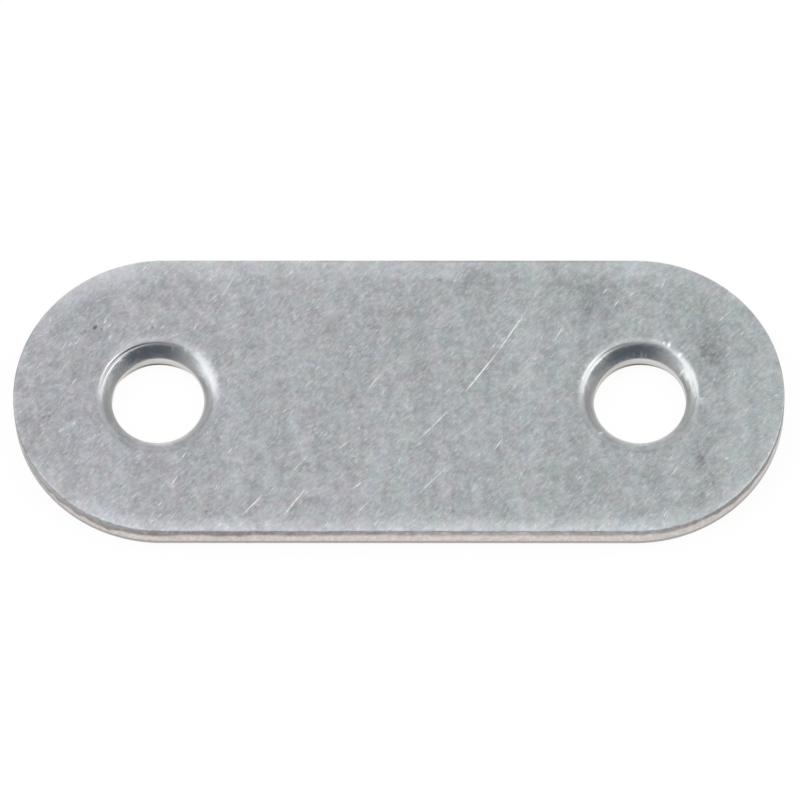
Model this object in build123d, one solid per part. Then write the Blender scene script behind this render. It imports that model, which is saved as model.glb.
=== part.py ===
from build123d import *
from math import radians, sin, tan
import os

# Mending plate with two screw holes, one piece of zinc-plated steel strip.
#
# The blank is punched out of the strip with full-round ends, so its side has what a
# press tool leaves: a die roll where the face bends over, a tight corner, a
# burnished wall, and below it a fracture zone that draws in to the underside.
# The two holes are punched, then countersunk from the same face.
#
# Millimetres. The origin is the centre of the underside, +X runs along the length
# and +Z leaves the countersunk face.

# --- Plate ---
length = 40.0  # over the round ends
width = 15.5  # across the straight sides, and so twice the radius of each end
thickness = 1.6  # underside to the countersunk face

# --- Screw holes ---
hole_pitch = 25.0  # between the two screw centres
hole_diameter = 4.8  # straight bore
countersink_diameter = 6.1  # where the cone would meet the face with no rim roll
countersink_angle = 82.0  # included, degrees
rim_radius = 0.7  # roll between the cone and the face
breakout = 0.06  # bevel where the punch breaks out of the underside

# --- Blanked side, from the face down ---
die_roll_width = 0.8  # from where the face starts to fall out to the side
die_roll_slope = 10.0  # of the face where the corner starts, degrees
corner_radius = 0.15  # between the die roll and the burnished wall
burnish_height = 0.4  # upright wall under the corner
fracture_lean = 0.02  # how far the fracture zone has drawn in at the underside
foot_radius = 0.05  # edge of the underside

half_width = width / 2
end_centre = length / 2 - half_width
sink_depth = (countersink_diameter - hole_diameter) / 2 / tan(radians(countersink_angle / 2))
bore_height = thickness - sink_depth

# The die roll is an arc that leaves the face level and meets the corner arc at
# die_roll_slope. This radius makes the two arcs together die_roll_width wide.
die_roll_radius = (die_roll_width - corner_radius) / sin(radians(die_roll_slope)) + corner_radius


def half_section():
    """Cross-section from the centre line, at X = 0, out to the side, on the XZ plane."""
    centre_foot = Vector(0, 0)
    centre_top = Vector(0, thickness)
    roll_start = Vector(half_width - die_roll_width, thickness)
    die_roll = JernArc(roll_start, (1, 0), die_roll_radius, -die_roll_slope)
    corner = JernArc(die_roll @ 1, die_roll % 1, corner_radius, die_roll_slope - 90)
    wall_top = corner @ 1
    wall_foot = wall_top - Vector(0, burnish_height)
    side_foot = Vector(half_width - fracture_lean, 0)
    straights = Polyline(wall_top, wall_foot, side_foot, centre_foot, centre_top, roll_start)
    outline = Curve() + [die_roll, corner, straights]
    section = make_face(outline)
    foot_corner = section.vertices().sort_by_distance(side_foot)[0]
    section = fillet(foot_corner, foot_radius)
    return Plane.XZ * section


def blank():
    """The punched-out plate with no holes: a straight middle and two round ends."""
    side = Rot(0, 0, 90) * half_section()
    section = side + mirror(side, Plane.XZ)
    middle = extrude(section, end_centre, both=True)
    round_end = revolve(Rot(0, 0, -90) * half_section(), Axis.Z, 180)
    right_end = Pos(end_centre, 0, 0) * round_end
    left_end = mirror(right_end, Plane.YZ)
    return middle + right_end + left_end


def mending_plate():
    """The blank with its two countersunk holes, and their rims rolled."""
    plate = blank()
    sink_radius = countersink_diameter / 2
    punch = CounterSinkHole(hole_diameter / 2, sink_radius, 2 * thickness, countersink_angle)
    for place in GridLocations(hole_pitch, 0, 2, 1):
        plate -= Pos(0, 0, thickness) * place * punch

    mouths = plate.edges().filter_by(lambda edge: edge.is_closed).group_by(Axis.Z)[-1]
    plate = fillet(mouths, rim_radius)
    feet = plate.edges().filter_by(lambda edge: edge.is_closed).group_by(Axis.Z)[0]
    return chamfer(feet, min(breakout, bore_height / 2))


os.makedirs("parts", exist_ok=True)
export_step(mending_plate(), "parts/mending_plate.step")
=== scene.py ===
from math import ceil, cos, pi, radians, sin, sqrt, tan

import bpy
import numpy as np
from mathutils import Matrix, Vector, noise
from mathutils.geometry import delaunay_2d_cdt


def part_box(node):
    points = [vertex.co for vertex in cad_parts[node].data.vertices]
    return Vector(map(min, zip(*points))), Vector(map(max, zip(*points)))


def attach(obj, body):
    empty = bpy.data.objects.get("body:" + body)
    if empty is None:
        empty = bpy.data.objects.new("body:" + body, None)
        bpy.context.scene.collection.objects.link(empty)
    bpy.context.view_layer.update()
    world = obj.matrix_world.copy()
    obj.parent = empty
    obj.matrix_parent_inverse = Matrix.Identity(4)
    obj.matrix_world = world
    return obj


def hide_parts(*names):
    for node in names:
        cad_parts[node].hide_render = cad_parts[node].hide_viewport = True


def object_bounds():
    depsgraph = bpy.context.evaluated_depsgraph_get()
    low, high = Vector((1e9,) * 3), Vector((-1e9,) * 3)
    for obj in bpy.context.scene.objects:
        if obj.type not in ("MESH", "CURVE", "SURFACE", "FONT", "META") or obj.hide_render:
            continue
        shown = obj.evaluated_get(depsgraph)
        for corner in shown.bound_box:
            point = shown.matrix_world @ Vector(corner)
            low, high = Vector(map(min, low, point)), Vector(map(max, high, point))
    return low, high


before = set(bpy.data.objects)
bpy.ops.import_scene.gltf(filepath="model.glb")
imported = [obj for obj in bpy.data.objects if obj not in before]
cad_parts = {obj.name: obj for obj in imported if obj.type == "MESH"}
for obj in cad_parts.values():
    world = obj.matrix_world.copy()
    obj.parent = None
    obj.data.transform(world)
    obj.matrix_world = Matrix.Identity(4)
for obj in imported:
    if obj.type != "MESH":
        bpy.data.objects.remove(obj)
cad_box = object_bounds()

# The plate is one detailed mesh that stands for the CAD solid. Its shape is worked out in
# millimetres and written in metres. The length, width and thickness are the solid's own,
# and the other sizes are those of the CAD source, apart from the corner's radius.
MM = 0.001
plate_lo, plate_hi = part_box("mending_plate")

# --- Plate ---
length = (plate_hi.x - plate_lo.x) / MM
half_width = (plate_hi.y - plate_lo.y) / MM / 2
thickness = (plate_hi.z - plate_lo.z) / MM
end_centre = length / 2 - half_width

# --- Screw holes ---
hole_pitch = 25.0
hole_diameter = 4.8
countersink_diameter = 6.1
countersink_angle = 82.0
rim_radius = 0.7
breakout = 0.06
bore = hole_diameter / 2
half_cone = radians(countersink_angle / 2)
rim_start = countersink_diameter / 2 + rim_radius * tan((pi / 2 - half_cone) / 2)

# --- Blanked side, from the face down ---
die_roll_width = 0.8
die_roll_slope = 10.0
corner_radius = 0.10  # a little tighter than the CAD source's
burnish_height = 0.4
fracture_lean = 0.02
foot_radius = 0.05

# --- Mesh ---
SIDE_STEP = 0.12  # between the columns of the blanked side
HOLE_COLUMNS = 300
FACE_STEP = 0.15  # between the points of the countersunk face
BACK_STEP = 0.45  # and of the underside
RIM_CLEARANCE = 0.16  # from the mean rim to the points of the face
EDGE_BORDER = 0.25  # flat ring inside the edge of the underside
BORE_BORDER = 0.2  # and round each bore
SCRATCH_STEP = 0.06  # along a scratch
SCRATCH_WIDTH = 0.10
SCRATCH_DEPTH = 0.005
PIT_DEPTH = 0.015
WAVE_DEPTH = 0.004  # of the rolled strip
DENT_DEPTH = 0.003

# --- Wear round the blanked side ---
# Each place is the way that the side faces there, in degrees from +X, and how sharply it ends.
LEFT_WORN = (200, 1.8)  # the corner and the top of the wall are rubbed dull
RIGHT_HIGHLIGHT = (-55, 4)  # the corner has more painted highlight
RIGHT_END = (-5, 3)  # the corner is duller and darker
RIGHT_DARK = (-30, 2)  # the wall's burnish is higher, with more painted dark reflection
FAR_STAINS = ((-3.45, 0.75), (5.2, 5.8))  # dark stains on the far corner: place, half-length
CORNER_TURNS = (0.2, 0.5, 0.8, 1)  # how far round the corner, as a share
CORNER_LIGHTS = (0.2, 0.6, 1, 0.4)  # and how much painted highlight it has there
NEAR_CORNER_LIGHTS = (0, 0.2, 0.9, 0.8)  # on the near side
BURNISH_ROWS = ((0.2, 1), (0.4, 1), (0.6, 0.95), (0.85, 0.8))  # share of the way down, strength
TORN_ROWS = 12
TORN_FOOT = 0.38  # height at which the torn band ends
TORN_GRAIN = 0.02  # depth of its pits
FOOT_ROWS = ((0.32, 0.45), (0.24, 0.95), (0.16, 0.8), (0.08, 0.5))  # height, and how much painted shade

# --- What the punch left at both holes ---
# Each place is a middle and a spread, in degrees round the hole from +X.
CONE_BELLY = 4.5  # degrees that the cone's slope is off its mean at the rim and at the foot
CONE_TOP, CONE_FADE = 3.22, 0.25  # radius inside which the turned finish starts, and its fade
INNER_TOP = 2.82  # the same for the inner half of the cone
LIP_RADIUS = 0.15  # where the cone meets the bore
LIP_TIGHT = (153, 35)  # the lip is tighter
LIP_GREY = (140, 25)  # the lip has less of the bore's colour
CONE_WARM = (172, 24)  # the cone has some of the bore's colour
CONE_DULL = (272, 62)  # the cone isn't turned bright
CONE_SOFT = (58, 20)  # what the cone mirrors is blurred
# Painted shade on the inner cone by the bore: place and strength.
CONE_PAINTED_SHADE = (((210, 26), 1.0), ((335, 18), 0.7))
HALO = (96, 26)
HALO_RADIUS, HALO_WIDTH = 3.12, 0.1
GLINT = (140, 20)
GLINTS = ((3.1, 0.42), (2.91, 0.15))  # radius and strength of the painted highlights by the groove
GLINT_WIDTH = 0.05
BORE_SHADOW = (148, 32)  # painted shadow: the edge of the bore is dark
BORE_SPARK = (55, 36)  # and here it has a painted highlight
BORE_LIGHT = (70, 34)  # the top of the bore has a painted highlight
BORE_ROWS = ((0.15, 0.7), (0.3, 0.3), (0.5, 0), (0.7, 0), (1, 0))  # share of the way down, and painted shadow
SEAM_HEIGHT = 0.18  # where the metal of the bore tore
SEAM_HIGH = (155, 40)
# Where the seam carries painted shade.
SEAM_DARK = (92, 34)
NICK_SPREAD = 1.1

# --- And at the left and the right one ---
RIM_CHANGES = (  # place, change of the rim roll's radius, and shift outwards
    (((40, 30), 0.30, 0.05), ((128, 20), 0.0, 0.05), ((165, 30), 0.12, -0.05)),
    (((5, 36), -0.36, -0.04), ((168, 28), 0.18, 0.0)),
)
GROOVE_WIDTH = 0.05
GROOVES = (  # radius, its gain for each degree back, depth, painted shade and place
    (3.0, 0.0, 0.036, 0.62, (137, 34)),
    (3.0, 0.0006, 0.016, 0.40, (128, 24)),
)
HALOS = (-0.4, 0.6)  # painted light on the far side of the rim, just outside the cone; below zero, painted shade
FLARES = (  # where the bore opens towards the underside: place, and how far
    (((40, 24), 0.16), ((150, 14), 0.11)),
    (((45, 28), 0.09), ((240, 40), 0.04)),
)
LIPS = (  # painted highlight on the edge of the bore, painted glow above it, and a rubbed patch of cone with painted highlight: place and strength of each
    (((298, 62), 0.6), ((283, 32), 0.40), ((3, 30), 0.34)),
    (((254, 64), 0.62), ((262, 50), 0.22), ((3, 30), 0.46)),
)
NICKS = (  # small bright marks: degrees round the hole, radius, half-length and strength
    ((75, 2.84, 0.10, 0.5), (62, 3.0, 0.15, 0.4), (112, 2.80, 0.08, 0.3)),
    (
        (88, 2.58, 0.16, 0.6), (83, 2.55, 0.12, 0.5), (97, 2.56, 0.10, 0.4), (34, 2.62, 0.2, 0.5),
        (62, 3.24, 0.2, 0.7), (67, 3.22, 0.12, 0.5), (226, 2.9, 0.2, 0.9), (48, 3.1, 0.16, 0.5),
        (356, 3.16, 0.12, 0.3), (352, 3.26, 0.12, 0.35), (348, 3.36, 0.1, 0.35),
    ),
)

# --- Marks of use on the face ---
EDGE_SHADE = 0.08  # painted light: how much lighter the die roll is
EDGE_LIGHT = (  # painted light by the way the edge faces: that way, how narrowly, and how much lighter still; below zero, painted shade
    (90, 2, 0.28), (270, 2, 0.06), (112, 12, 0.34), (250, 6, 0.10), (206, 8, -0.24),
)
SCRATCHES = (  # start, end and how bright
    ((6.6, 4.8), (5.1, 2.4), 0.9), ((5.06, 2.34), (3.4, 0.1), 1.0), ((8.7, 5.3), (6.7, 4.9), 0.15),
    ((2.7, -3.9), (1.0, -5.7), 0.45), ((2.5, -1.0), (1.2, -2.4), 0.8),
    ((-0.8, 1.4), (-1.6, 0.3), 0.6), ((-1.4, -5.9), (-2.2, -6.85), 0.5),
    ((-7.0, -5.7), (-8.0, -6.8), 0.8), ((-4.9, -5.5), (-5.9, -6.85), 0.9),
    ((-4.7, -3.5), (-5.5, -4.4), 0.5), ((-8.5, 6.9), (-9.2, 5.7), 0.4),
    ((17.1, 4.7), (16.6, 4.2), 0.6), ((13.85, 6.6), (13.6, 6.1), 0.8),
    ((8.5, 3.9), (8.1, 3.1), 0.8), ((5.4, -2.5), (5.0, -3.1), 0.7),
    ((-1.9, -5.0), (-2.3, -5.3), 0.9), ((-2.5, -2.6), (-3.1, -3.1), 0.5),
    ((-11.0, -3.3), (-11.2, -3.6), 1.0), ((-11.4, -4.6), (-11.7, -5.1), 0.6),
    ((10.8, 6.1), (10.6, 5.8), 0.7), ((11.4, 5.4), (11.2, 5.1), 0.7),
    ((10.2, -5.9), (9.9, -6.2), 0.6), ((-18.3, -2.0), (-18.5, -2.3), 0.5),
    ((-15.2, 4.25), (-15.35, 4.1), 0.7), ((-15.0, 4.0), (-15.15, 3.85), 0.6),
    ((-12.75, 4.3), (-12.9, 4.15), 0.7), ((-12.2, 3.95), (-12.4, 3.75), 0.5),
    ((-10.5, 4.1), (-10.7, 3.6), 0.6), ((-16.7, -1.5), (-16.9, -1.7), 0.6),
    ((-16.4, -1.9), (-16.5, -2.1), 0.4), ((-14.1, -5.1), (-14.3, -5.35), 0.5),
    ((-13.6, -5.7), (-13.8, -5.9), 0.5), ((-12.2, -6.1), (-12.4, -6.3), 0.5),
    ((-17.3, 3.0), (-17.5, 2.6), 0.5), ((-9.5, 5.7), (-9.8, 5.4), 0.5),
    ((-9.1, 5.3), (-9.3, 5.0), 0.4), ((-8.75, 1.0), (-8.9, 0.75), 0.5),
    ((17.9, 3.6), (17.7, 3.4), 0.5), ((14.4, -4.2), (14.1, -4.6), 0.5),
    ((12.2, 5.85), (11.9, 5.6), 0.6),
)
PITS = (  # place, radius and how dark
    (-15.8, 3.85, 0.16, 0.8), (-15.45, 3.75, 0.09, 0.5), (-12.8, 3.85, 0.12, 0.45),
    (-18.4, -1.25, 0.10, 0.4), (-18.1, -1.2, 0.10, 0.4), (-9.9, -6.6, 0.12, 0.35),
    (-5.3, 0.2, 0.10, 0.35), (2.1, 6.6, 0.15, 0.3), (4.2, 6.4, 0.14, 0.3), (9.4, 6.2, 0.14, 0.35),
    (16.0, 3.8, 0.13, 0.35), (-7.4, 1.3, 0.10, 0.4), (-1.7, 1.1, 0.08, 0.4),
    (-2.9, 1.2, 0.09, 0.35), (0.6, 1.2, 0.09, 0.35), (16.6, 1.9, 0.13, 0.35),
    (-6.3, 2.2, 0.09, 0.35), (-2.3, -3.6, 0.09, 0.35),
)
SMUDGES_AND_RIM_LIGHT = (  # place, half-sizes along X and Y, and how much lighter: old smudges, and painted light just outside the far rims of the holes
    (16.2, 2.6, 0.9, 1.5, -0.26), (15.9, -4.3, 0.8, 1.7, -0.25), (9.6, 5.4, 1.5, 1.3, -0.13),
    (4.1, 6.4, 0.7, 0.8, -0.08), (-10.2, 5.7, 0.9, 0.9, -0.09), (-18.0, -1.3, 1.3, 0.5, -0.08),
    (1.5, 3.5, 4.5, 3.0, -0.04), (11.0, -5.0, 2.0, 1.5, -0.05), (-10.0, -3.7, 0.8, 0.6, -0.06),
    (-9.0, 6.7, 0.7, 0.9, 0.10), (6.2, 3.4, 0.9, 2.4, 0.06), (-8.8, 0.0, 0.6, 7.0, 0.04),
    (18.2, 1.0, 1.2, 4.5, 0.05), (-16.5, -5.0, 2.2, 1.6, 0.05), (6.9, -2.0, 0.6, 5.0, 0.04),
    # These three are painted light on the far rim roll of the holes.
    (-13.4, 3.2, 0.9, 0.28, 0.13), (-14.2, 2.8, 0.5, 0.3, 0.12), (10.9, 2.8, 0.5, 0.3, 0.16),
    (-8.5, 4.5, 0.8, 3.0, 0.07), (-6.0, 3.5, 0.6, 3.5, 0.07), (-1.0, 0.0, 0.6, 7.0, 0.06),
    (-8.0, 6.3, 8.0, 1.3, 0.04), (6.0, 0.0, 0.6, 2.2, 0.05), (17.0, 5.0, 0.8, 0.8, 0.11),
    (16.5, -3.3, 0.7, 0.7, 0.10), (-4.0, -5.5, 0.8, 1.8, 0.08), (3.0, 7.0, 1.3, 0.7, -0.08),
    (9.0, 7.0, 0.8, 0.7, -0.12), (7.0, -4.0, 0.7, 1.2, -0.06), (-19.3, -0.6, 0.25, 0.3, 0.25),
    (-18.9, 2.2, 0.25, 0.5, -0.12), (-9.1, -4.2, 0.5, 0.35, -0.07), (6.5, 7.4, 4.5, 0.9, -0.10),
)

# --- Colours ---
ZINC = (0.350, 0.364, 0.378, 1)
TURNED = ((0.335, 0.355, 0.37, 1), (0.43, 0.44, 0.45, 1))
# The burnished band, partly its own tone and mostly painted dark for the dark surroundings that it
# mirrors; the cones take it as painted shade.
BURNISH_PAINTED_DARK = ((0.21, 0.187, 0.175, 1), (0.36, 0.328, 0.312, 1))
TORN = ((0.60, 0.553, 0.527, 1), (0.785, 0.728, 0.697, 1))
BORED = (0.62, 0.59, 0.56, 1)
# Painted shade along the foot of the side and the bevels under the bores.
FOOT_SHADE = (0.36, 0.345, 0.335, 1)
# Real stains, and painted shade in the grooves, bores and seams and on the burnished band.
GRIME_AND_PAINTED_SHADE = (0.04, 0.04, 0.04, 1)
# Fresh scratches and nicks, and the painted highlights of the holes.
FRESH_CUT_AND_HIGHLIGHT = (0.88, 0.88, 0.88, 1)
WHITE = (1, 1, 1, 1)
SOFTBOX_LIGHT = (1, 0.99, 0.97)

# --- Camera ---
CAMERA_DISTANCE = 0.8
CAMERA_ELEVATION = 65.4
CAMERA_AZIMUTH = 2.0
CAMERA_ROLL = 1.8
CAMERA_LENS = 693.8
CAMERA_NUDGE = 0.06 * MM  # to the right and up in the picture

rng = np.random.default_rng(7)


# ---------------------------------------------------------------- noise and fades
def bumps(points, size, seed):
    """Smooth noise from -1 to 1 at points in millimetres, with marks of about this size."""
    shift = Vector((seed * 17.3, seed * 5.9, seed * 9.1))
    return np.array([noise.noise(Vector(p) / size + shift) for p in points])


def flat_bumps(spots, size, seed):
    """The same at spots of a face."""
    return bumps(np.column_stack([spots, np.zeros(len(spots))]), size, seed)


def above(value, foot, fade):
    """0 below foot, 1 a fade's width above it, and straight between them."""
    return np.clip((value - foot) / fade, 0, 1)


def below(value, top, fade):
    """0 above top, 1 a fade's width below it, and straight between them."""
    return np.clip((top - value) / fade, 0, 1)


def peak(value, middle, width):
    return np.exp(-(((value - middle) / width) ** 2))


def towards(facing, degrees, sharpness):
    """1 where the side faces this way, and less to both sides of it."""
    return np.clip(sharpness * np.cos(facing - radians(degrees)) - (sharpness - 1), 0, 1)


# ---------------------------------------------------------------- mesh
class Shell:
    """A closed mesh that grows ring by ring, with a share of each finish at every point."""

    FINISHES = (
        "shade", "rolled", "burnished", "torn", "foot",
        "sunk", "bored", "scratched", "dark", "dull",
    )

    def __init__(self):
        self.points = []
        self.faces = []
        self.finish = {name: [] for name in self.FINISHES}
        self.count = 0

    def add(self, points, **finish):
        """Adds points and gives back their numbers."""
        start = self.count
        self.points.append(np.asarray(points, float))
        self.count += len(points)
        for name in self.FINISHES:
            share = np.broadcast_to(finish.get(name, 0.0), len(points))
            self.finish[name].append(share)
        return np.arange(start, self.count)

    def skin(self, rings):
        """Quads between each ring and the next. All have the same number of points."""
        for upper, lower in zip(rings, rings[1:]):
            after_upper, after_lower = np.roll(upper, -1), np.roll(lower, -1)
            self.faces += np.column_stack([upper, lower, after_lower, after_upper]).tolist()

    def fill(self, outer, holes, inner, facing_up):
        """Triangles between an outer ring and two hole rings, through the inner points.

        The hole rings bulge outwards everywhere, so a triangle with all its corners on one
        of them lies in the opening and is left out.
        """
        rings = [outer, *holes]
        parts = [*rings, inner]
        numbers = np.concatenate(parts)
        owner = np.concatenate([np.full(len(part), i) for i, part in enumerate(parts)])
        edges, start = [], 0
        for ring in rings:
            edges += [(start + i, start + (i + 1) % len(ring)) for i in range(len(ring))]
            start += len(ring)
        places = [Vector(p) for p in self.all_points()[numbers][:, :2]]
        made = delaunay_2d_cdt(places, edges, [], 1, 1e-7)
        triangles, merged = made[2], made[3]
        origin = [group[0] for group in merged]
        for triangle in triangles:
            corners = [origin[v] for v in triangle]
            owners = {owner[v] for v in corners}
            if owners not in ({1}, {2}):
                face = [int(numbers[v]) for v in corners]
                self.faces.append(face if facing_up else face[::-1])

    def all_points(self):
        return np.concatenate(self.points)

    def mesh(self, name):
        data = bpy.data.meshes.new(name)
        data.from_pydata((self.all_points() * MM).tolist(), [], self.faces)
        data.validate()
        for finish, shares in self.finish.items():
            attribute = data.attributes.new(finish, "FLOAT", "POINT")
            attribute.data.foreach_set("value", np.concatenate(shares).astype(np.float32))
        data.shade_smooth()
        return data


def arc(centre, radius, start, end, count):
    """Points on an arc, angles in degrees, both ends in."""
    turn = np.radians(np.linspace(start, end, count))
    return np.column_stack([centre[0] + radius * np.cos(turn), centre[1] + radius * np.sin(turn)])


# ---------------------------------------------------------------- blanked side
def side_columns():
    """Where each column of the side stands: a centre on the X axis, and the way it faces."""
    straight = ceil(2 * end_centre / SIDE_STEP)
    cap = ceil(pi * half_width / SIDE_STEP)
    along = np.linspace(-end_centre, end_centre, straight, endpoint=False)
    around = np.linspace(-pi / 2, pi / 2, cap, endpoint=False)
    centre = np.concatenate([along, np.full(cap, end_centre), -along, np.full(cap, -end_centre)])
    facing = np.concatenate([
        np.full(straight, -pi / 2), around, np.full(straight, pi / 2), around + pi,
    ])
    return centre, facing


class Side:
    """The blanked side, ring by ring from the level face down to the underside.

    Its wear differs from column to column, so most shares are arrays.
    """

    def __init__(self, shell):
        self.shell = shell
        self.rings = []
        self.centre, self.facing = side_columns()
        self.x = self.centre + half_width * np.cos(self.facing)
        self.y = half_width * np.sin(self.facing)
        self.near_side = np.clip(-np.sin(self.facing), 0, 1) ** 4
        self.left_worn = towards(self.facing, *LEFT_WORN)
        self.right_dark = towards(self.facing, *RIGHT_DARK)
        self.lightness = 0.58 * (1 - self.burnish_darkness())

    def mottled(self, size, seed, height=0.0):
        height = np.broadcast_to(height, len(self.x))
        return bumps(np.column_stack([self.x, self.y, height]), size, seed)

    def ring(self, outward, height, **finish):
        outward = np.broadcast_to(outward, len(self.x))
        height = np.broadcast_to(height, len(self.x))
        x = self.centre + outward * np.cos(self.facing)
        y = outward * np.sin(self.facing)
        self.rings.append(self.shell.add(np.column_stack([x, y, height]), **finish))

    def burnish_darkness(self):
        """Darkest to the left and right, with light gaps to the right of the middle."""
        dark = 0.55 + 0.36 * ((self.x - 6) / 11) ** 2 + 0.25 * self.mottled(1.1, 4)
        gaps = np.clip(6 * self.mottled(0.5, 8) - 1.1, 0, 1) * above(self.x, -1, 3)
        gaps = gaps * np.clip((end_centre - self.centre) / 1.5 + 0.3, 0, 1)
        return np.clip(dark, 0, 1) * (1 - 0.9 * gaps)

    def corner_highlight_and_wear(self):
        """How much painted highlight and rub the corner has, how stained it is, and how dark at the
        right end.
        """
        far = np.clip(np.sin(self.facing), 0, 1)
        right_highlight = towards(self.facing, *RIGHT_HIGHLIGHT)
        right_end = towards(self.facing, *RIGHT_END)
        rub_and_highlight = 1 + self.mottled(0.4, 6) * (1 - 0.5 * far) + 0.5 * far
        rub_and_highlight = rub_and_highlight * (1 - 0.9 * self.left_worn + 0.6 * right_highlight) * (1 - 0.8 * right_end)
        stains = sum(np.exp(-(((self.x - place) / reach) ** 4)) for place, reach in FAR_STAINS)
        return rub_and_highlight, 0.3 * stains * far**8, 0.3 * right_end

    def add_roll(self):
        """The die roll and the tight corner. Gives the height at which the wall starts."""
        slope = radians(die_roll_slope)
        radius = (die_roll_width - corner_radius) / sin(slope) + corner_radius
        centre = (half_width - die_roll_width, thickness - radius)
        corner_x = half_width - corner_radius
        corner_z = centre[1] + (radius - corner_radius) * cos(slope)
        roll = arc(centre, radius, 90, 90 - die_roll_slope, 8)
        corner = arc((corner_x, corner_z), corner_radius, 90 - die_roll_slope, 0, 8)

        rub_and_highlight, stained, dark_end = self.corner_highlight_and_wear()
        for outward, height in roll[:-1]:
            self.ring(outward, height)
        self.ring(*roll[-1], dark=stained)
        for outward, height in corner[1:]:
            turned = (outward - corner_x) / corner_radius
            # Painted highlight along the corner.
            bright = np.interp(turned, CORNER_TURNS, CORNER_LIGHTS) * (1 - self.near_side)
            bright += np.interp(turned, CORNER_TURNS, NEAR_CORNER_LIGHTS) * self.near_side
            burnt = above(turned, 0.75, 1 / 3) * (1 - self.left_worn)
            self.ring(
                outward, height, rolled=bright * rub_and_highlight - 0.6 * self.left_worn,
                burnished=burnt, torn=self.lightness * burnt,
                dark=0.5 * stained + dark_end * above(turned, 0.5, 0.5),
            )
        return corner_z

    def add_wall(self, top):
        """The burnished wall, painted dark as the dark reflection it shows. Gives the ragged line at
        which it ends, as heights.
        """
        ragged = 0.5 * self.mottled(1.6, 1) + 0.9 * self.mottled(0.62, 2) + 0.5 * self.mottled(0.3, 3)
        thinner = 0.32 * above(self.x, -6, 3) * self.near_side
        reach = burnish_height * (1 - thinner + 0.9 * self.left_worn + 0.3 * self.right_dark)
        border = top - reach * np.clip(1 + 0.55 * ragged, 0.4, 2)
        for share, held in BURNISH_ROWS:
            edge_lightening = self.left_worn * np.clip(1.8 - 2.6 * share, 0, 1)
            self.ring(
                half_width, top + (border - top) * share, rolled=edge_lightening,
                burnished=held * (1 - edge_lightening), torn=self.lightness * (1 - edge_lightening),
                # More painted dark reflection on the right.
                dark=0.32 * self.right_dark * min(1, 2 - 2 * share),
            )
        return border

    def add_torn_band(self, border):
        """Rough metal, a little drawn in, and a strip of painted shade under it."""
        least_fade = 0.4 * self.left_worn + 0.25 * self.right_dark
        for i in range(TORN_ROWS):
            share = i / (TORN_ROWS - 1)
            height = (border - 0.03) * (1 - share) + TORN_FOOT * share
            drawn = fracture_lean * (0.3 + 0.7 * share)
            grain = np.clip(0.5 + 0.9 * self.mottled(0.26, 5, height * 0.5), 0, 1)
            pits = grain * TORN_GRAIN * min(1, 4 * share, 4 - 4 * share)
            fade = np.maximum(0.64 - 0.16 * i, least_fade)
            self.ring(half_width - drawn - pits, height, torn=1 - fade, burnished=fade)
        for height, shade_at_foot in FOOT_ROWS:
            self.ring(half_width - fracture_lean, height, torn=1, foot=shade_at_foot)

    def add_foot(self):
        """The rounded edge of the underside, and a flat ring inside it."""
        foot_centre = half_width - fracture_lean - foot_radius
        for turn in (0, 30, 60, 90):
            outward = foot_centre + foot_radius * cos(radians(turn))
            height = foot_radius * (1 - sin(radians(turn)))
            # Painted shade on the rounded edge.
            self.ring(outward, height, torn=1 - turn / 90, foot=0.5)
        self.ring(foot_centre - EDGE_BORDER, 0.0)


def add_side(shell):
    """Gives the side's top and bottom rings."""
    side = Side(shell)
    wall_top = side.add_roll()
    border = side.add_wall(wall_top)
    side.add_torn_band(border)
    side.add_foot()
    shell.skin(side.rings)
    return side.rings[0], side.rings[-1]


# ---------------------------------------------------------------- screw holes
def hole_profile(rim, shift, lip):
    """Radius, height and slope, in degrees, down the rim roll, the cone and its rounded foot.

    The punch has left the cone a little hollow, so its slope grows towards the bore. The
    radius of the rim roll, its place and the lip over the bore may change round the hole.
    """
    mean = 90 - countersink_angle / 2
    upper, lower = mean - CONE_BELLY, mean + CONE_BELLY
    radius = countersink_diameter / 2 + shift + rim * tan((pi / 2 - half_cone) / 2)
    height = thickness
    rows = [(radius, height, 0.0)]

    def roll(bend, start, end, count):
        nonlocal radius, height
        slopes = np.radians(np.linspace(start, end, count))
        for slope in slopes[1:]:
            across = radius - bend * (sin(slope) - sin(slopes[0]))
            down = height - bend * (cos(slopes[0]) - cos(slope))
            rows.append((across, down, np.degrees(slope)))
        radius, height = rows[-1][:2]

    roll(rim, 0, upper, 34)
    reach = radius - bore - lip * (1 - sin(radians(lower)))
    bend = reach / (sin(radians(lower)) - sin(radians(upper)))
    roll(bend, upper, lower, 11)
    roll(lip, lower, 90, 7)
    return rows


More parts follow.
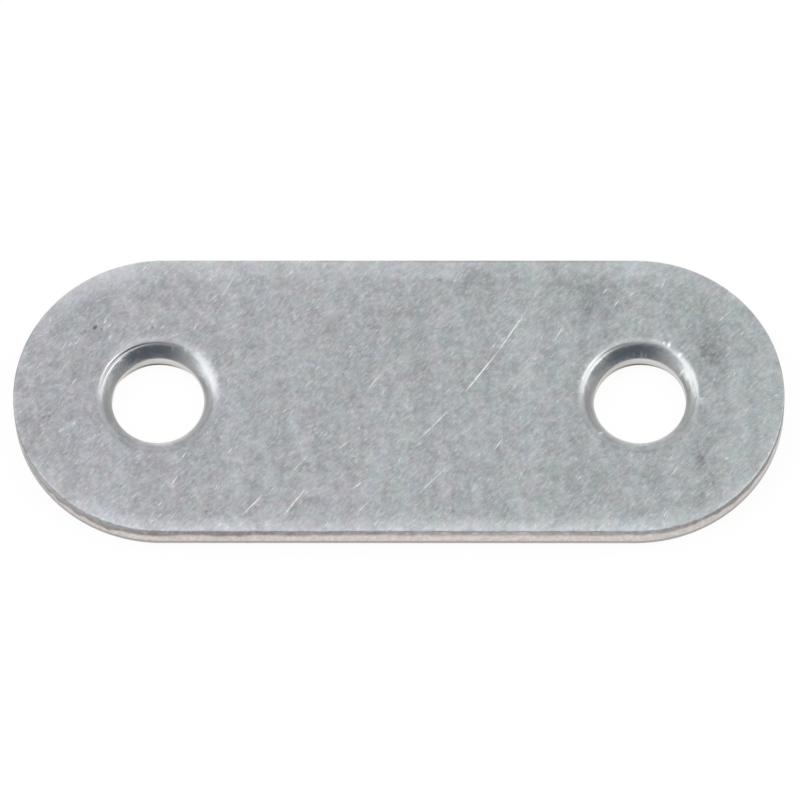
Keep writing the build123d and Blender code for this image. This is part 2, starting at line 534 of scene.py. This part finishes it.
class Hole:
    """One countersunk hole, ring by ring from the level face to the underside."""

    def __init__(self, shell, x):
        self.shell = shell
        self.x = x
        self.side = int(x > 0)
        self.rings = []
        self.turn = np.linspace(0, 2 * pi, HOLE_COLUMNS, endpoint=False)[::-1]
        edge = np.column_stack([x + bore * np.cos(self.turn), bore * np.sin(self.turn)])
        self.ragged = 0.02 * flat_bumps(edge, 0.7, 21)
        self.shadow = self.near(BORE_SHADOW)
        self.flare = sum(reach * self.near(place) for place, reach in FLARES[self.side])

    def near(self, place):
        """1 at a place round the hole, and less away from it on both sides."""
        middle, spread = place
        away = (np.degrees(self.turn) - middle + 180) % 360 - 180
        return np.exp(-((away / spread) ** 2))

    def ring(self, radius, height, **finish):
        radius = np.broadcast_to(radius, HOLE_COLUMNS)
        height = np.broadcast_to(height, HOLE_COLUMNS)
        x = self.x + radius * np.cos(self.turn)
        y = radius * np.sin(self.turn)
        self.rings.append(self.shell.add(np.column_stack([x, y, height]), **finish))

    def lights(self, radius, inner):
        """Painted highlights and the nicks of the rim, the cone and its lip."""
        edge, glow, rub_and_highlight = LIPS[self.side]
        lit = edge[1] * self.near(edge[0]) * below(radius, 2.56, 0.08)
        lit = np.maximum(lit, glow[1] * self.near(glow[0]) * inner)
        lit = lit + 0.3 * self.near(BORE_SPARK) * below(radius, 2.47, 0.05)
        lit = lit + rub_and_highlight[1] * self.near(rub_and_highlight[0]) * peak(radius, 2.75, 0.14)
        for middle, strength in GLINTS:
            lit = lit + strength * self.near(GLINT) * peak(radius, middle, GLINT_WIDTH)
        for place, middle, reach, strength in NICKS[self.side]:
            along = np.clip(1 - abs(radius - middle) / reach, 0, 1)
            lit = lit + 1.5 * strength * self.near((place, NICK_SPREAD)) * along
        return np.clip(lit, 0, 1)

    def cone_finish(self, radius, slope):
        cone = below(radius, CONE_TOP, CONE_FADE) * min(1, slope / 10)
        inner = below(radius, INNER_TOP, CONE_FADE)
        bored = above(slope, 62, 20)
        dull = cone * self.near(CONE_DULL)
        warm = 0.34 * self.near(CONE_WARM) * inner * (1 - bored)
        halo = HALOS[self.side] * self.near(HALO) * peak(radius, HALO_RADIUS, HALO_WIDTH)
        soft = 0.5 * self.near(CONE_SOFT) * below(radius, 3.0, CONE_FADE)
        return {
            "sunk": cone * (1 - dull),
            "dull": dull,
            "bored": bored * (1 - 0.7 * self.near(LIP_GREY)) + warm,
            # Painted shade near the bore.
            "burnished": 0.35 * inner * sum(share * self.near(at) for at, share in CONE_PAINTED_SHADE),
            "rolled": halo + soft,
            "scratched": self.lights(radius, inner),
        }

    def add_cone(self):
        """The rolled rim with its groove, the cone and its lip. Gives the top of the bore."""
        rim, shift = rim_radius, 0.0
        for place, change, outwards in RIM_CHANGES[self.side]:
            rim = rim + change * self.near(place)
            shift = shift + outwards * self.near(place)
        lip = LIP_RADIUS * (1 - 0.7 * self.near(LIP_TIGHT))
        middle, gain, depth, groove_shade, around = GROOVES[self.side]
        middle = middle + gain * (around[0] - np.degrees(self.turn))
        for radius, height, slope in hole_profile(rim, shift, lip):
            groove = self.near(around) * peak(radius, middle, GROOVE_WIDTH)
            # Painted shade on the outer wall of the groove.
            dark = groove * groove_shade * above(radius, middle, 0.02)
            # Painted shadow on the lip over the bore.
            dark = dark + 0.7 * self.shadow * above(slope, 54, 8)
            inwards = depth * groove
            self.ring(
                radius + inwards * sin(radians(slope)),
                height - inwards * cos(radians(slope)) + self.ragged * above(slope, 62, 20),
                dark=dark, **self.cone_finish(radius, slope),
            )
        return height

    def bore_ring(self, height, dark, scratched=0.0):
        """A ring of the bore, which flares towards the underside."""
        opened = self.flare * np.clip(1 - height / 0.6, 0, 1) ** 1.5
        self.ring(bore + opened, height, bored=1, dark=dark, scratched=scratched)

    def add_bore(self, top):
        """The bore, with painted shade as a dark line at the seam where the metal tore."""
        seam = SEAM_HEIGHT + 0.18 * self.near(SEAM_HIGH)
        seam_dark = self.near(SEAM_DARK)
        lit = 0.35 * self.near(BORE_LIGHT)
        for share, shaded in BORE_ROWS:
            height = top + (seam + 0.07 - top) * share + self.ragged * (1 - share)
            dark = shaded * self.shadow + 0.12 * share * seam_dark
            self.bore_ring(height, dark, lit * (1 - share))
        self.bore_ring(seam + 0.04, 0.9 * seam_dark)
        self.bore_ring(seam - 0.04, 0.9 * seam_dark)
        self.bore_ring((seam - 0.06 + breakout) / 2, 0.85 * seam_dark)
        self.bore_ring(breakout, 0.7 * seam_dark)

    def add_breakout(self):
        """The bevel at the underside, and a flat ring round it."""
        opening = bore + self.flare
        # Painted shade on the bevel.
        self.ring(opening + breakout * 0.5, breakout * 0.4, foot=1)
        self.ring(opening + breakout, 0.0, foot=1)
        self.ring(opening + breakout + BORE_BORDER, 0.0)


def add_hole(shell, x):
    """Gives the hole's top and bottom rings."""
    hole = Hole(shell, x)
    bore_top = hole.add_cone()
    hole.add_bore(bore_top)
    hole.add_breakout()
    shell.skin(hole.rings)
    return hole.rings[0], hole.rings[-1]


# ---------------------------------------------------------------- the two faces
def from_axis(spots):
    """Distance of each spot from the plate's middle line, round the ends as well."""
    return np.hypot(np.maximum(np.abs(spots[:, 0]) - end_centre, 0), spots[:, 1])


def scattered(step, edge, rim):
    """Points over a face, in staggered rows, that keep clear of its edge and hole rims."""
    rows = int(half_width / (step * 0.87)) + 1
    columns = int(length / 2 / step) + 1
    y, x = np.meshgrid(np.arange(-rows, rows + 1), np.arange(-columns, columns + 1), indexing="ij")
    x = (x + 0.5 * (y % 2)) * step
    y = y * step * 0.87
    spots = np.column_stack([x.ravel(), y.ravel()])
    spots += rng.uniform(-0.12, 0.12, spots.shape) * step
    clear = from_axis(spots) < edge - step * 0.6
    for centre in (-hole_pitch / 2, hole_pitch / 2):
        clear &= np.hypot(spots[:, 0] - centre, spots[:, 1]) > rim + step * 0.6
    return spots[clear]


def add_scratch(shell, start, end, strength, spots):
    """A groove between two lips. Gives its points and the spots that are clear of it."""
    start, end = np.array(start), np.array(end)
    along = end - start
    reach = np.hypot(*along)
    along /= reach
    across = np.array([-along[1], along[0]])
    share = np.linspace(0, 1, max(4, ceil(reach / SCRATCH_STEP)))
    spine = start + np.outer(share * reach, along)
    taper = np.sqrt(np.sin(pi * np.clip(share, 0.03, 0.97))) * strength
    taper = taper * np.clip(0.9 + 1.2 * flat_bumps(spine, 0.22, 31), 0.15, 1)
    made = []
    for side in (-1, 0, 1):
        row = spine + across * side * SCRATCH_WIDTH / 2
        depth = 0 if side else SCRATCH_DEPTH * taper
        heights = np.full(len(row), thickness) - depth
        made.append(shell.add(np.column_stack([row, heights]), scratched=0 if side else taper))
    offset = spots - start
    run = np.clip(offset @ along, 0, reach)
    away = np.hypot(*(offset - np.outer(run, along)).T)
    return np.concatenate(made), spots[away > SCRATCH_WIDTH * 0.9]


def add_pit(shell, x, y, radius, dark, spots):
    """A small dent, longer along the strokes: a middle point, a ring inside it and its rim."""
    half_length, half_breadth = 1.4 * radius, 0.8 * radius
    made = [shell.add([(x, y, thickness - PIT_DEPTH)], dark=dark)]
    for share, count in ((0.5, 6), (1.0, 11)):
        turn = np.linspace(0, 2 * pi, count, endpoint=False)
        along = half_length * share * np.cos(turn)
        across = half_breadth * share * np.sin(turn)
        ring = np.column_stack([
            x + (along - across) * sqrt(0.5), y + (along + across) * sqrt(0.5),
            np.full(count, thickness - PIT_DEPTH * (1 - share**2)),
        ])
        made.append(shell.add(ring, dark=dark * (1 - share**2)))
    away = np.hypot(spots[:, 0] - x, spots[:, 1] - y)
    return np.concatenate(made), spots[away > half_length + 0.05]


def fill_face(shell, outer, rims):
    """The countersunk face, with its scratches and pits."""
    spots = scattered(FACE_STEP, half_width - die_roll_width, rim_start + RIM_CLEARANCE)
    marks = []
    for start, end, strength in SCRATCHES:
        made, spots = add_scratch(shell, start, end, strength, spots)
        marks.append(made)
    for x, y, radius, dark in PITS:
        made, spots = add_pit(shell, x, y, radius, dark, spots)
        marks.append(made)
    open_face = shell.add(np.column_stack([spots, np.full(len(spots), thickness)]))
    shell.fill(outer, rims, np.concatenate([open_face, *marks]), True)


def fill_underside(shell, outer, rims):
    edge = half_width - fracture_lean - foot_radius - EDGE_BORDER
    spots = scattered(BACK_STEP, edge, bore + breakout + BORE_BORDER)
    inner = shell.add(np.column_stack([spots, np.zeros(len(spots))]))
    shell.fill(outer, rims, inner, False)


def sink_face(shell):
    """Gives the whole upper skin the wave and dents of rolled strip, and only ever inwards."""
    points = shell.all_points()
    upper = points[:, 2] > thickness - 0.07
    spots = points[upper, :2]
    wave = WAVE_DEPTH * (0.5 + 0.5 * flat_bumps(spots, 4.5, 11))
    dents = DENT_DEPTH * np.clip(flat_bumps(spots, 0.8, 12), 0, 1)
    points[upper, 2] -= wave + dents
    shell.points = [points]


def face_shade(spots):
    """How much lighter or darker the zinc is than its mean: painted light and shade on the edges, old
    smudges, and painted light just outside the far rims of the holes.
    """
    sideways = np.maximum(np.abs(spots[:, 0]) - end_centre, 0) * np.sign(spots[:, 0])
    facing = np.arctan2(spots[:, 1], sideways)
    inset = np.clip((half_width - from_axis(spots)) / 1.4, 0, 1)
    # Painted light and shade on the die roll, by the way the edge faces.
    edge_lightening = EDGE_SHADE
    for degrees, power, lighter in EDGE_LIGHT:
        edge_lightening = edge_lightening + lighter * np.clip(np.cos(facing - radians(degrees)), 0, 1) ** power
    shade = edge_lightening * (1 - inset) ** 1.3
    patchy = 1 + 1.3 * flat_bumps(spots, 0.55, 15)
    for x, y, half_x, half_y, lighter in SMUDGES_AND_RIM_LIGHT:
        away = ((spots[:, 0] - x) / half_x) ** 2 + ((spots[:, 1] - y) / half_y) ** 2
        shade = shade + lighter * patchy * np.exp(-away)
    return shade


# ---------------------------------------------------------------- the plate
def plate():
    shell = Shell()
    side_top, side_bottom = add_side(shell)
    left_top, left_bottom = add_hole(shell, -hole_pitch / 2)
    right_top, right_bottom = add_hole(shell, hole_pitch / 2)
    fill_face(shell, side_top, [left_top, right_top])
    fill_underside(shell, side_bottom, [left_bottom, right_bottom])
    sink_face(shell)
    points = shell.all_points()
    upper = np.clip(points[:, 2] / thickness * 4 - 2.5, 0, 1)
    shell.finish["shade"] = [face_shade(points[:, :2]) * upper]

    piece = bpy.data.objects.new("plate", shell.mesh("plate"))
    bpy.context.scene.collection.objects.link(piece)
    return piece


# ---------------------------------------------------------------- material
class Nodes:
    """Short names for building one material."""

    def __init__(self, material):
        material.use_nodes = True
        self.tree = material.node_tree
        self.shader = self.tree.nodes["Principled BSDF"]

    def new(self, kind, **values):
        node = self.tree.nodes.new(kind)
        for name, value in values.items():
            setattr(node, name, value)
        return node

    def feed(self, socket, value):
        """Links an output to a socket, or sets the socket to a plain value."""
        if isinstance(value, bpy.types.NodeSocket):
            self.tree.links.new(value, socket)
        else:
            socket.default_value = value

    def maths(self, operation, *values):
        node = self.new("ShaderNodeMath", operation=operation)
        for socket, value in zip(node.inputs, values):
            self.feed(socket, value)
        return node.outputs[0]

    def share(self, name):
        return self.new("ShaderNodeAttribute", attribute_name=name).outputs["Fac"]

    def mapped(self, where, rotation, scale):
        mapping = self.new("ShaderNodeMapping")
        self.feed(mapping.inputs["Vector"], where)
        mapping.inputs["Rotation"].default_value = rotation
        mapping.inputs["Scale"].default_value = scale
        return mapping.outputs[0]

    def placed(self, turn=0.0, stretch=(1, 1, 1)):
        """Object coordinates in millimetres, turned about Z and then stretched."""
        where = self.new("ShaderNodeTexCoord").outputs["Object"]
        where = self.mapped(where, (0, 0, radians(-turn)), [1 / MM] * 3)
        return self.mapped(where, (0, 0, 0), [1 / k for k in stretch])

    def mottle(self, where, size, detail=2.0, roughness=0.5, offset=0.0):
        """Noise round zero, with marks of about this size in millimetres."""
        node = self.new("ShaderNodeTexNoise", noise_dimensions="4D")
        self.feed(node.inputs["Vector"], where)
        node.inputs["W"].default_value = offset
        node.inputs["Scale"].default_value = 1 / size
        node.inputs["Detail"].default_value = detail
        node.inputs["Roughness"].default_value = roughness
        return self.maths("SUBTRACT", node.outputs["Fac"], 0.5)

    def above(self, value, low, high):
        """0 below low, 1 above high, and smooth between them."""
        node = self.new("ShaderNodeMapRange", interpolation_type="SMOOTHSTEP")
        self.feed(node.inputs["Value"], value)
        node.inputs["From Min"].default_value = low
        node.inputs["From Max"].default_value = high
        return node.outputs["Result"]

    def sum(self, *terms):
        """Adds up (value, weight) pairs."""
        total = 0.0
        for value, weight in terms:
            total = self.maths("MULTIPLY_ADD", value, weight, total)
        return total

    def blend(self, share, a, b, mode="MIX"):
        node = self.new("ShaderNodeMix", data_type="RGBA", blend_type=mode)
        self.feed(node.inputs[0], share)
        self.feed(node.inputs[6], a)
        self.feed(node.inputs[7], b)
        return node.outputs[2]

    def between(self, share, a, b):
        node = self.new("ShaderNodeMix", data_type="FLOAT")
        self.feed(node.inputs[0], share)
        self.feed(node.inputs[2], a)
        self.feed(node.inputs[3], b)
        return node.outputs[0]

    def colour(self, red, green, blue):
        node = self.new("ShaderNodeCombineColor")
        for socket, value in zip(node.inputs, (red, green, blue)):
            self.feed(socket, value)
        return node.outputs[0]


class Marks:
    """Noises that the colour, the roughness and the relief of the steel share."""

    def __init__(self, n):
        self.strokes = n.mottle(n.placed(46, (2.6, 1, 1)), 0.125, 2.5, 0.6)
        self.blotches = n.mottle(n.placed(), 0.24, 1.5, 0.5, 43)
        self.fine = n.mottle(n.placed(), 0.075, 1.0, 0.5, 3)
        self.cloud = n.mottle(n.placed(), 0.6, 3.0, 0.55, 7)
        self.lines = n.mottle(n.placed(0, (1, 14, 1)), 0.9, 2.0, 0.6, 9)
        self.spots = n.above(n.mottle(n.placed(), 0.2, 1.0, 0.5, 17), 0.19, 0.3)
        self.grit = n.mottle(n.placed(0, (1, 1, 1.8)), 0.22, 3.0, 0.65, 37)
        long_flecks = n.above(n.mottle(n.placed(52, (7, 1, 1)), 0.09, 1.0, 0.5, 11), 0.185, 0.275)
        cross_flecks = n.above(n.mottle(n.placed(33, (6, 1, 1)), 0.08, 1.0, 0.5, 13), 0.205, 0.285)
        steep_flecks = n.above(n.mottle(n.placed(68, (6, 1, 1)), 0.09, 1.0, 0.5, 14), 0.215, 0.295)
        flecks = n.maths("MAXIMUM", long_flecks, cross_flecks)
        self.flecks = n.maths("MAXIMUM", flecks, steep_flecks)


def zinc_tone(n, marks):
    """Strokes one way, clouds, flecks, and lines across the strip, round a mean of 1, with painted
    light and shade of the edges and rims added.
    """
    dull = n.share("dull")
    tone = n.sum(
        (marks.strokes, 0.84), (n.maths("ABSOLUTE", marks.strokes), 0.35), (marks.blotches, 0.34),
        (marks.fine, 0.32), (marks.cloud, 0.64), (marks.lines, 0.34), (marks.flecks, 0.55),
        (marks.spots, -0.16), (1.0, -0.03), (n.share("shade"), 1.0), (n.share("rolled"), 0.35),
        (dull, 0.44), (n.maths("MULTIPLY", marks.cloud, dull), 1.0),
    )
    tone = n.maths("ADD", tone, 1.0)
    return n.colour(tone, tone, tone)


def zinc_hue(n):
    """Faint pink and green in the plating, pinker to the left and greener to the right."""
    tint = n.mottle(n.placed(), 0.7, 2.0, 0.6, 19)
    blue = n.mottle(n.placed(), 0.6, 2.0, 0.6, 23)
    along = n.new("ShaderNodeSeparateXYZ")
    n.feed(along.inputs[0], n.placed())
    x = along.outputs[0]
    tint = n.sum((tint, 0.2), (x, -0.0008))
    return n.colour(
        n.maths("ADD", tint, 1.0),
        n.sum((tint, -0.45), (x, 0.0005), (1.0, 1.003)),
        n.sum((blue, 0.2), (x, -0.0004), (1.0, 1.002)),
    )


def steel_colour(n, marks):
    """The zinc of the faces, then the finishes of the cones, the side, the bores and the marks, with
    painted shade and painted highlights among them.
    """
    face = n.blend(1.0, ZINC, zinc_hue(n), "MULTIPLY")
    face = n.blend(1.0, face, zinc_tone(n, marks), "MULTIPLY")
    ringed = n.mottle(n.placed(0, (1, 1, 0.5)), 0.4, 2.0, 0.6, 29)
    rub = n.mottle(n.placed(0, (1, 1, 1.5)), 0.3, 3.0, 0.6, 31)
    colour = n.blend(n.share("sunk"), face, n.blend(n.sum((ringed, 1.0), (0.5, 1.0)), *TURNED))
    colour = n.blend(n.share("burnished"), colour, n.blend(n.above(rub, -0.15, 0.2), *BURNISH_PAINTED_DARK))
    colour = n.blend(n.share("torn"), colour, n.blend(n.above(marks.grit, -0.2, 0.2), *TORN))
    colour = n.blend(n.share("bored"), colour, BORED)
    colour = n.blend(n.share("foot"), colour, FOOT_SHADE)
    # Stains, and painted shade.
    colour = n.blend(n.share("dark"), colour, GRIME_AND_PAINTED_SHADE)
    # Fresh scratches and nicks, and painted highlights on the holes.
    return n.blend(n.share("scratched"), colour, FRESH_CUT_AND_HIGHLIGHT)


def steel_roughness(n, marks):
    rough = n.sum((marks.fine, 0.5), (marks.flecks, -0.08), (0.40, 1.0))
    for finish, value in (("sunk", 0.27), ("dull", 0.45), ("rolled", 0.62), ("torn", 0.5)):
        rough = n.between(n.share(finish), rough, value)
    return rough


def steel_relief(n, marks):
    """The zinc's grain outside the turned cones, their own swell, and the torn band's grit."""
    grain = n.sum(
        (marks.strokes, 1.0), (marks.fine, 0.6), (marks.cloud, 1.5), (marks.flecks, 0.3),
        (marks.spots, -0.5),
    )
    grain = n.maths("MULTIPLY", grain, n.maths("SUBTRACT", 1.0, n.share("sunk")))
    swell = n.mottle(n.placed(), 0.4, 1.5, 0.5, 41)
    height = n.sum(
        (grain, 1.0), (n.maths("MULTIPLY", marks.grit, n.share("torn")), 2.0),
        (n.maths("MULTIPLY", swell, n.share("sunk")), 3.8),
    )
    bump = n.new("ShaderNodeBump")
    bump.inputs["Distance"].default_value = 0.006 * MM
    bump.inputs["Strength"].default_value = 1.0
    n.feed(bump.inputs["Height"], height)
    return bump.outputs["Normal"]


def zinc_steel():
    material = bpy.data.materials.new("zinc_steel")
    n = Nodes(material)
    marks = Marks(n)
    n.shader.inputs["Metallic"].default_value = 1.0
    n.feed(n.shader.inputs["Base Color"], steel_colour(n, marks))
    n.feed(n.shader.inputs["Roughness"], steel_roughness(n, marks))
    n.feed(n.shader.inputs["Normal"], steel_relief(n, marks))
    return material


# ---------------------------------------------------------------- studio
def aim(azimuth, elevation):
    """Unit vector out to a place round the plate. Azimuth 0 is in front, 90 to the right."""
    a, e = radians(azimuth), radians(elevation)
    return Vector((sin(a) * cos(e), -cos(a) * cos(e), sin(e)))


def stand(piece, azimuth, elevation, distance):
    """Puts a lamp or card round the plate, facing it and out of the camera's sight."""
    outwards = aim(azimuth, elevation)
    piece.location = outwards * distance
    piece.rotation_mode = "QUATERNION"
    piece.rotation_quaternion = outwards.to_track_quat("Z", "Y")
    piece.visible_camera = False
    bpy.context.scene.collection.objects.link(piece)


def softbox(name, azimuth, elevation, distance, width, height, radiance, colour=(1, 1, 1)):
    """A rectangular lamp, set by the radiance that the plate sees in it."""
    lamp = bpy.data.lights.new(name, "AREA")
    lamp.shape = "RECTANGLE"
    lamp.size = width
    lamp.size_y = height
    lamp.energy = radiance * 4 * width * height
    lamp.color = colour
    stand(bpy.data.objects.new(name, lamp), azimuth, elevation, distance)


def panel(name, width, height, depth=0.0):
    """A flat rectangle and its material."""
    w, h = width / 2, height / 2
    data = bpy.data.meshes.new(name)
    corners = [(-w, -h, depth), (w, -h, depth), (w, h, depth), (-w, h, depth)]
    data.from_pydata(corners, [], [(0, 1, 2, 3)])
    material = bpy.data.materials.new(name)
    material.use_nodes = True
    data.materials.append(material)
    return bpy.data.objects.new(name, data), material.node_tree


def card(name, azimuth, elevation, distance, width, height, colour):
    """A card of this radiance that the plate reflects."""
    piece, tree = panel(name, width, height)
    stand(piece, azimuth, elevation, distance)
    piece.visible_shadow = False
    shader = tree.nodes["Principled BSDF"]
    shader.inputs["Base Color"].default_value = (0, 0, 0, 1)
    shader.inputs["Specular IOR Level"].default_value = 0.0
    shader.inputs["Emission Color"].default_value = (*colour, 1)
    shader.inputs["Emission Strength"].default_value = 1.0


def mostly_white(tree, share):
    """A mix shader whose second input shows to the camera and in gloss and glass by this share."""
    path = tree.nodes.new("ShaderNodeLightPath")
    seen = path.outputs["Is Camera Ray"]
    for other in ("Is Glossy Ray", "Is Transmission Ray"):
        either = tree.nodes.new("ShaderNodeMath")
        either.operation = "MAXIMUM"
        tree.links.new(seen, either.inputs[0])
        tree.links.new(path.outputs[other], either.inputs[1])
        seen = either.outputs[0]
    part = tree.nodes.new("ShaderNodeMath")
    part.operation = "MULTIPLY"
    part.inputs[1].default_value = share
    tree.links.new(seen, part.inputs[0])
    mix = tree.nodes.new("ShaderNodeMixShader")
    tree.links.new(part.outputs[0], mix.inputs[0])
    return mix


def studio_floor():
    """A pale floor just under the plate. It keeps the shadow and shows nearly white."""
    floor, tree = panel("floor", 6.0, 6.0, -0.01 * MM)
    bpy.context.scene.collection.objects.link(floor)
    shader = tree.nodes["Principled BSDF"]
    shader.inputs["Base Color"].default_value = (0.88, 0.88, 0.88, 1)
    shader.inputs["Roughness"].default_value = 0.9
    shader.inputs["Specular IOR Level"].default_value = 0.0
    white = tree.nodes.new("ShaderNodeEmission")
    white.inputs["Color"].default_value = WHITE
    mix = mostly_white(tree, 0.92)
    tree.links.new(shader.outputs[0], mix.inputs[1])
    tree.links.new(white.outputs[0], mix.inputs[2])
    tree.links.new(mix.outputs[0], tree.nodes["Material Output"].inputs["Surface"])


def studio_world():
    world = bpy.data.worlds.new("studio")
    world.use_nodes = True
    tree = world.node_tree
    room = tree.nodes["Background"]
    room.inputs["Color"].default_value = WHITE
    room.inputs["Strength"].default_value = 0.95
    white = tree.nodes.new("ShaderNodeBackground")
    white.inputs["Color"].default_value = WHITE
    path = tree.nodes.new("ShaderNodeLightPath")
    mix = tree.nodes.new("ShaderNodeMixShader")
    tree.links.new(path.outputs["Is Camera Ray"], mix.inputs[0])
    tree.links.new(room.outputs[0], mix.inputs[1])
    tree.links.new(white.outputs[0], mix.inputs[2])
    tree.links.new(mix.outputs[0], tree.nodes["World Output"].inputs["Surface"])
    bpy.context.scene.world = world


def studio_lamps():
    """Lamps and cards: azimuth, elevation, distance, width, height, then radiance or colour."""
    softbox("overhead", -40, 84, 1.0, 0.9, 0.8, 0.45)
    softbox("left", -90, 31, 1.0, 1.0, 1.2, 1.1, SOFTBOX_LIGHT)
    softbox("right", 88, 38, 1.0, 1.0, 0.8, 1.1, SOFTBOX_LIGHT)
    card("front", 9, 17, 0.6, 1.35, 0.40, (0.15, 0.175, 0.20))
    card("front_top", 4, 49, 0.62, 0.9, 0.39, (0.52, 0.53, 0.55))
    card("front_left", -60, 4, 0.6, 0.30, 0.2, (0.45, 0.46, 0.48))
    card("front_right", 69, 8, 0.6, 0.35, 0.24, (0.32, 0.33, 0.35))


def camera():
    data = bpy.data.cameras.new("camera")
    data.lens = CAMERA_LENS
    data.clip_start = 0.05
    data.clip_end = 10.0
    piece = bpy.data.objects.new("camera", data)
    back = aim(CAMERA_AZIMUTH, CAMERA_ELEVATION)
    right = Vector((cos(radians(CAMERA_AZIMUTH)), sin(radians(CAMERA_AZIMUTH)), 0))
    up = back.cross(right)
    roll = radians(CAMERA_ROLL)
    tilted_right = right * cos(roll) - up * sin(roll)
    tilted_up = up * cos(roll) + right * sin(roll)
    axes = Matrix((tilted_right, tilted_up, back)).transposed()
    middle = (cad_box[0] + cad_box[1]) / 2
    piece.rotation_mode = "QUATERNION"
    piece.rotation_quaternion = axes.to_quaternion()
    piece.location = middle + back * CAMERA_DISTANCE + (tilted_right + tilted_up) * CAMERA_NUDGE
    bpy.context.scene.collection.objects.link(piece)
    bpy.context.scene.camera = piece


# ---------------------------------------------------------------- build
piece = plate()
piece.data.materials.append(zinc_steel())
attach(piece, "root")
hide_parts("mending_plate")

studio_world()
studio_floor()
studio_lamps()
camera()

bpy.context.scene.view_settings.view_transform = "Standard"
